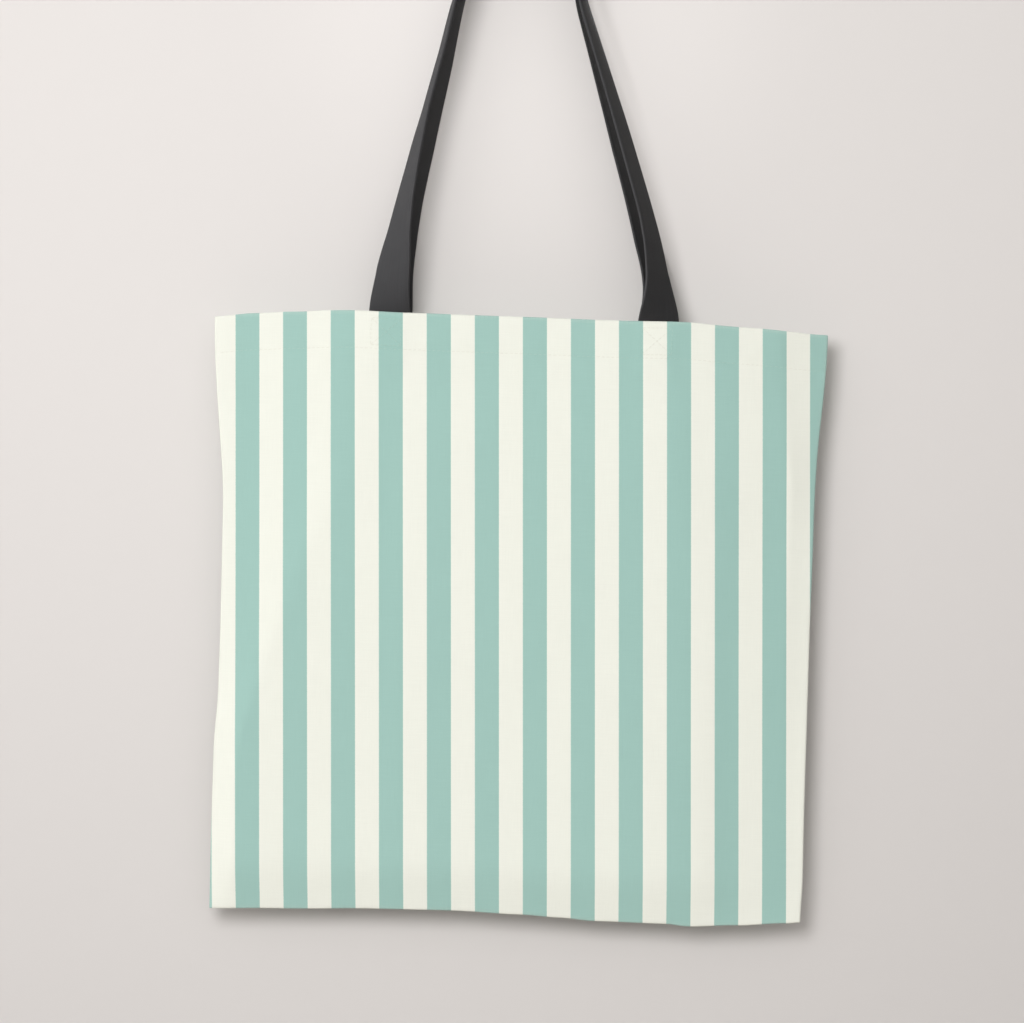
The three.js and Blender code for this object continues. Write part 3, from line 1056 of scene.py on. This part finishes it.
stitch_model = model_stitch()
stitch_points = points_of(stitch_model)
stitch_faces = [tuple(p.vertices) for p in stitch_model.data.polygons]
bpy.data.objects.remove(stitch_model)
print("one stitch has", len(stitch_faces), "faces")

# %% [markdown]
# To follow the bag, a stitch needs the place of its two ends on the skin and the direction out
# of the cloth between them. The skin's functions give both. No stitch is laid quite like its
# neighbour, so each one slants and strays a little, by draws from a seeded generator.

# %% Lay stitches along a line
def skin_point(x, depth, side, offset):
    """Points at x and depth on a panel, moved out of the bag by offset."""
    x, depth = np.atleast_1d(np.asarray(x, float)), np.atleast_1d(np.asarray(depth, float))
    y = surface_y(x, depth, side, False)
    slope_x, slope_z, length = surface_slopes(x, depth, side, False)
    normal = np.stack([-slope_x, np.full_like(x, 1.0), -slope_z], axis=1) / length[:, None]
    point = np.stack([x, y, height(x, depth)], axis=1) + offset * normal
    normal[:, 1] *= side
    point[:, 1] *= side
    return point, normal


def copies(name, points, faces, frames, material):
    """One piece made of copies of a small model. Each frame is a place and three directions."""
    all_points, all_faces = [], []
    for place, along, across, out in frames:
        base = len(all_points) * len(points)
        turned = place + points[:, :1] * along + points[:, 1:2] * across + points[:, 2:] * out
        all_points.append(turned)
        all_faces += [tuple(base + i for i in face) for face in faces]
    mesh = bpy.data.meshes.new(name)
    mesh.from_pydata(np.concatenate(all_points).tolist(), [], all_faces)
    piece = bpy.data.objects.new(name, mesh)
    bpy.context.scene.collection.objects.link(piece)
    mesh.materials.append(material)
    select_only(piece)
    bpy.ops.object.shade_smooth()
    return piece


def stitch_frames(corners, side, offset, rng, pitch=STITCH_PITCH):
    """Frames of stitches along a broken line of (x, depth) corners."""
    frames = []
    for (x0, d0), (x1, d1) in zip(corners, corners[1:]):
        run = math.hypot(x1 - x0, d1 - d0)
        count = max(1, int(round(run / pitch)))
        t = (np.arange(count) + 0.5) / count
        half = 0.5 * STITCH_LENGTH / run
        jitter = np.array([rng.uniform(-0.06, 0.06) * MM for _ in t])
        ends = []
        for shift in (-half, 0, half):
            x = x0 + (x1 - x0) * (t + shift)
            depth = d0 + (d1 - d0) * (t + shift) + jitter
            ends.append(skin_point(x, depth, side, offset))
        for start, (place, out), stop in zip(ends[0][0], zip(*ends[1]), ends[2][0]):
            along = (stop - start) / np.linalg.norm(stop - start)
            slant = np.cross(out, along)
            along = along + slant * rng.uniform(0.02, 0.12)
            along /= np.linalg.norm(along)
            frames.append((place, along, np.cross(out, along), out))
    return frames


# %% [markdown]
# ## Hem stitching
#
# One row of stitches holds the hem all round the mouth. It shows on the outside, and its
# underside shows on the hem inside. A bump on the canvas could hint at it, but from the side a
# stitch stands proud of the cloth, so each one is laid as a piece of thread.

# %% Hem stitching
rng = random.Random(7)
OUTER = CANVAS / 2
INNER = -2 * FOLD_RADIUS - CANVAS / 2


def hem_stitching(word, side):
    reach = float(half_width(np.array(STITCH_DEPTH), np.array(1))) - 3 * MM
    line = [(-reach, STITCH_DEPTH), (reach, STITCH_DEPTH)]
    outside = stitch_frames(line, side, OUTER, rng)
    inside = [
        (place, along, -across, -out)
        for place, along, across, out in stitch_frames(line, side, INNER, rng)
    ]
    piece = copies(f"{word}_hem_thread", stitch_points, stitch_faces, outside + inside, PRINTED_THREAD)
    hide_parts(f"{word}_hem_stitching")
    print(piece.name, len(outside + inside), "stitches")
    return piece


ride_on_front(hem_stitching("front", FRONT))
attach(hem_stitching("back", BACK), "bag_back")

# %% [markdown]
# ## Strap tacks
#
# Each strap end is held by a square of stitches with a cross in it, sewn through strap, hem and
# panel in one go. Its stitches are a little closer than the hem's. The frame gives the square's
# size and place.

# %% Strap tacks
TACK_PITCH = 2.7 * MM
for side, word in ((FRONT, "front"), (BACK, "back")):
    for direction, hand in ((-1, "left"), (1, "right")):
        low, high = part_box(f"{word}_{hand}_tack")
        x0, x1 = low.x + THREAD_RADIUS, high.x - THREAD_RADIUS
        top, base = TOP_Z - high.z + THREAD_RADIUS, TOP_Z - low.z - THREAD_RADIUS
        square = [(x0, base), (x0, top), (x1, top), (x1, base), (x0, base), (x1, top)]
        frames = stitch_frames(square, side, OUTER, rng, TACK_PITCH)
        frames += stitch_frames([(x0, top), (x1, base)], side, OUTER, rng, TACK_PITCH)
        tack = copies(f"{word}_{hand}_tack_thread", stitch_points, stitch_faces, frames, PRINTED_THREAD)
        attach(tack, f"bag_{word}")
        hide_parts(f"{word}_{hand}_tack")
        print(tack.name, len(frames), "stitches")

# %% [markdown]
# ## Seams
#
# Along the sides and the bottom, both panels' edges are sewn together and turned to the inside,
# as a narrow double strip that shows the wrong side of the canvas. It is seen only by looking
# into the mouth, so one thick strip stands for both layers.

# %% Seam allowances
SEAM_TOP = HEM_DEPTH + 1.5 * MM
SEAM_WIDTH = 10 * MM
SEAM_COLUMNS, SEAM_ROWS = 4, 120
SEAM_SWAY = 0.25 * MM


def seam_strip(name, place_of, length):
    """A double strip of canvas. place_of turns (across, along) from 0 to 1 into x, y and z."""
    sheet, column, row = cut_sheet(name, SEAM_COLUMNS, SEAM_ROWS)
    across, along = column / SEAM_COLUMNS, row / SEAM_ROWS
    bend_to(sheet, np.stack(place_of(across, along), axis=1))
    map_cloth(sheet, across * SEAM_WIDTH, along * length)
    add_wear(sheet, np.zeros(len(across)))
    thicken(sheet, 2 * CANVAS, [WRONG_SIDE], bevel=0.25 * MM)
    return sheet


def side_place(direction):
    def place(across, along):
        depth = SEAM_TOP + (BAG_HEIGHT - FOLD_INSET - SEAM_TOP) * (1 - along)
        inset = FOLD_INSET + across * (SEAM_WIDTH - FOLD_INSET)
        x = direction * (half_width(depth, np.full_like(depth, direction)) - inset)
        sway = SEAM_SWAY * np.sin(along * 31 + direction) * across
        return x, sway, height(x, depth)

    return place


def bottom_place(across, along):
    x = (2 * along - 1) * (HALF_WIDTH - SEAM_INSET)
    depth = BAG_HEIGHT - FOLD_INSET - across * (SEAM_WIDTH - FOLD_INSET)
    return x, SEAM_SWAY * np.sin(along * 37) * across, height(x, depth)


seams = {}
for direction, hand in ((-1, "left"), (1, "right")):
    seams[hand] = seam_strip(f"{hand}_seam_canvas", side_place(direction), BAG_HEIGHT - SEAM_TOP)
seams["bottom"] = seam_strip("bottom_seam_canvas", bottom_place, 2 * HALF_WIDTH)
for hand, strip in seams.items():
    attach(strip, "bag_back")
    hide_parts(f"{hand}_seam")
    print(strip.name, len(strip.data.polygons), "faces")

# %% [markdown]
# ## Overlock thread
#
# An overlock machine wraps the raw edge of each strip in slanting loops of thread, so that it
# can't fray. One loop is modelled from a torus of few faces, pressed to the strip's thickness,
# and copied along the edge.

# %% Overlock thread
LOOP_PITCH = 2.2 * MM
LOOP_INSET = SEAM_WIDTH
LOOP_SIZE = (2.2 * MM, 2.0 * MM, 1.05 * MM)
LOOP_SLANT = 0.5 * MM


def model_loop():
    """One overlock loop round a raw edge: x runs along the edge, y into the strip, z out of it."""
    deselect()
    bpy.ops.mesh.primitive_torus_add(
        major_segments=12,
        minor_segments=4,
        major_radius=1.0,
        minor_radius=0.09,
        rotation=(0, math.pi / 2, 0),
    )
    loop = bpy.context.object
    bpy.ops.object.transform_apply(location=True, rotation=True, scale=True)
    for point in loop.data.vertices:
        x, y, z = point.co
        point.co = (x * LOOP_SIZE[0] + y * LOOP_SLANT, y * LOOP_SIZE[1], z * LOOP_SIZE[2])
    return loop


loop_model = model_loop()
loop_points = points_of(loop_model)
loop_faces = [tuple(p.vertices) for p in loop_model.data.polygons]
bpy.data.objects.remove(loop_model)


def overlock(hand, xs, depths, along, inward):
    """Loops along a raw edge, whose points are xs across and depths below the top edge."""
    turns = [np.array(direction) for direction in (along, inward, (0, 1.0, 0))]
    frames = [(np.array((x, 0, z)), *turns) for x, z in zip(xs, height(xs, depths))]
    piece = copies(f"{hand}_seam_thread", loop_points, loop_faces, frames, THREAD)
    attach(piece, "bag_back")
    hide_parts(f"{hand}_seam_overlock")
    print(piece.name, len(frames), "loops")


for direction, hand in ((-1, "left"), (1, "right")):
    depths = np.arange(SEAM_TOP + 2 * MM, BAG_HEIGHT - 14 * MM, LOOP_PITCH)
    xs = direction * (half_width(depths, np.full_like(depths, direction)) - LOOP_INSET)
    overlock(hand, xs, depths, (0, 0, -1.0), (direction, 0, 0))
reach = HALF_WIDTH - 13 * MM
xs = np.arange(-reach, reach, LOOP_PITCH)
overlock("bottom", xs, np.full_like(xs, BAG_HEIGHT - LOOP_INSET), (1.0, 0, 0), (0, 0, -1.0))

# %% [markdown]
# ## Wall and floor
#
# The bag hangs just clear of a pale, warm grey wall, with a floor far below. The lamps alone
# would leave the wall too even, so light is painted into its colour: painted light makes it a
# little lighter towards the top and towards the left, and a painted pool of light behind the
# handles takes away the shade they would throw there. The floor has the same finish, and so the
# same painted light, laid out in its own coordinates. The wall lets light and sight through from
# behind, so that the back of the bag can be lit and looked at.

# %% Wall and floor
WALL_GAP = 2.5 * MM
WALL_Y = cad_bounds[1][1] + WALL_GAP
FLOOR_Z = -1.3
# the middle of the painted pool of light behind the handles, which hides their shade on the wall
PAINTED_LIGHT_SPOT = (0, WALL_Y, TOP_Z + 0.2)  # the lightest place of the wall, behind the handles


def stage_material(name, colour, see_through):
    material, tree = new_material(name)
    place = add_node(tree, "ShaderNodeTexCoord").outputs["Object"]
    grain = noise_value(tree, place, 900.0)
    bump = add_node(tree, "ShaderNodeBump", {"Height": grain, "Strength": 0.05, "Distance": 0.2 * MM})
    # Painted light: the paint gets lighter towards the top and towards the left, and lighter still in a
    # painted pool of light behind the handles, where their shade would fall.
    upwards = map_range(tree, axis_of(tree, place, "Z"), TOP_Z - 0.45, TOP_Z + 0.25, 0.95, 1.12)
    sideways = map_range(tree, axis_of(tree, place, "X"), -0.35, 0.35, 1.01, 0.96)
    distance = add_node(tree, "ShaderNodeVectorMath", {0: place, 1: PAINTED_LIGHT_SPOT}, operation="DISTANCE")
    painted_spot = map_range(tree, distance.outputs["Value"], 0.03, 0.2, 1.11, 1.0, smooth=True)
    painted_light = math_node(tree, "MULTIPLY", math_node(tree, "MULTIPLY", upwards, sideways), painted_spot)
    paint = add_node(
        tree,
        "ShaderNodeBsdfPrincipled",
        {
            "Base Color": dim(tree, colour, painted_light),
            "Roughness": 0.95,
            "Specular IOR Level": 0.1,
            "Normal": bump.outputs["Normal"],
        },
    ).outputs["BSDF"]
    if see_through:
        behind = add_node(tree, "ShaderNodeNewGeometry").outputs["Backfacing"]
        shadow_ray = add_node(tree, "ShaderNodeLightPath").outputs["Is Shadow Ray"]
        hidden = math_node(tree, "MAXIMUM", behind, shadow_ray)
        clear = add_node(tree, "ShaderNodeBsdfTransparent").outputs["BSDF"]
        mixed = add_node(tree, "ShaderNodeMixShader", {0: hidden, 1: paint, 2: clear})
        paint = mixed.outputs["Shader"]
    finish_material(tree, paint)
    return material


deselect()
bpy.ops.mesh.primitive_plane_add(size=5, location=(0, WALL_Y, TOP_Z), rotation=(math.pi / 2, 0, 0))
wall = bpy.context.object
wall.name = "wall"
wall.data.materials.append(stage_material("wall_paint", (0.694, 0.670, 0.656, 1), True))
bpy.ops.object.transform_apply(location=True, rotation=True, scale=True)
deselect()
bpy.ops.mesh.primitive_plane_add(size=60, location=(0, 0, FLOOR_Z))
floor = bpy.context.object
floor.name = "floor"
floor.data.materials.append(stage_material("floor_paint", (0.66, 0.632, 0.607, 1), False))
print("the wall stands", round(WALL_GAP / MM, 1), "mm behind the bag")

# %% [markdown]
# ## Lamps
#
# The lamps stand in front and to the left, above the middle of the view, so the bag throws a
# narrow soft shadow to the right and below. In a studio, flags keep a lamp's
# light off what it shouldn't reach. Light linking does the same here: the wall has one lamp, and
# the pale bag and the dark handles have two each, so that each gets the light it needs. A last
# lamp stands behind the see-through wall, for views of the back.

# %% Lamps
def soft_lamp(name, place, size, power, bounces=None):
    """A round area lamp that is aimed at the middle of the view."""
    lamp = bpy.data.lights.new(name, "AREA")
    lamp.shape = "DISK"
    lamp.size = size
    lamp.energy = power
    if bounces is not None:
        lamp.cycles.max_bounces = bounces
    holder = bpy.data.objects.new(name, lamp)
    bpy.context.scene.collection.objects.link(holder)
    holder.location = place
    holder.rotation_euler = (middle - place).to_track_quat("-Z", "Y").to_euler()
    return holder


def shine_on(lamp, pieces):
    """Lets a lamp light only these pieces, as a flag does in a studio."""
    lit = bpy.data.collections.new(f"lit_by_{lamp.name}")
    for piece in pieces:
        lit.objects.link(piece)
    lamp.light_linking.receiver_collection = lit


middle = Vector((0, 0, VIEW_CENTRE.z))
high_left = middle + Vector((-0.29, -1.40, 0.293))
far_left = middle + Vector((-3.1, -1.9, 0.9))
near_middle = middle + Vector((-0.12, -1.44, 0.293))
low_left = middle + Vector((-3.4, -1.0, 0.9))
behind = middle + Vector((0.2, 2.3, 1.0))
NEAR_SIZE, FAR_SIZE = 0.55, 1.2

meshes = [piece for piece in bpy.context.scene.objects if piece.type == "MESH"]
handles = [piece for piece in meshes if piece.name.endswith("handle_webbing")]
bag_pieces = [piece for piece in meshes if piece not in handles and piece not in (wall, floor)]
for name, place, size, power, pieces in (
    ("key_lamp", high_left, NEAR_SIZE, 11.5, [wall, floor]),
    ("bag_side_lamp", far_left, FAR_SIZE, 42, bag_pieces),
    ("bag_front_lamp", near_middle, NEAR_SIZE, 8.1, bag_pieces),
    ("handle_side_lamp", low_left, FAR_SIZE, 112, handles),
    ("handle_front_lamp", high_left, NEAR_SIZE, 1.5, handles),
):
    shine_on(soft_lamp(name, place, size, power), pieces)
    print(name, "lights", len(pieces), "pieces")
soft_lamp("back_lamp", behind, 0.6, 58, bounces=0)

# %% [markdown]
# ## Surround
#
# A pale surround fills the shadows. An even one would light the bag's edges as much as its front,
# so this one is brightest straight in front of the wall, and a little brighter on the left and
# above. A ray from the camera sees it as one even colour instead.

# %% Surround
def soft_surround(strength, from_left, from_above, backdrop):
    """A surround that is brightest in front of the wall, on the left and above. The camera sees
    it as one even colour."""
    world = bpy.data.worlds.new("surround")
    world.use_nodes = True
    tree = world.node_tree
    direction = add_node(tree, "ShaderNodeTexCoord").outputs["Generated"]
    split = add_node(tree, "ShaderNodeSeparateXYZ", {"Vector": direction})
    light = math_node(tree, "MULTIPLY_ADD", split.outputs["X"], -from_left, 1.0)
    light = math_node(tree, "MULTIPLY_ADD", split.outputs["Z"], from_above, light)
    light = math_node(tree, "MAXIMUM", light, 0.0)
    in_front = math_node(tree, "MAXIMUM", math_node(tree, "MULTIPLY", split.outputs["Y"], -1.0), 0.0)
    in_front = math_node(tree, "POWER", in_front, 4.0)
    in_front = math_node(tree, "MULTIPLY_ADD", in_front, 0.9, 0.1)
    light = math_node(tree, "MULTIPLY", math_node(tree, "MULTIPLY", light, in_front), strength)
    seen = add_node(tree, "ShaderNodeLightPath").outputs["Is Camera Ray"]
    shown = add_node(tree, "ShaderNodeMix", {0: seen, 2: light, 3: backdrop}, data_type="FLOAT")
    background = tree.nodes["Background"]
    tree.links.new(shown.outputs[0], background.inputs["Strength"])
    background.inputs["Color"].default_value = (1, 0.98, 0.96, 1)
    return world


bpy.context.scene.world = soft_surround(1.75, 0.6, 0.4, 0.66)
bpy.context.scene.view_settings.view_transform = "Standard"
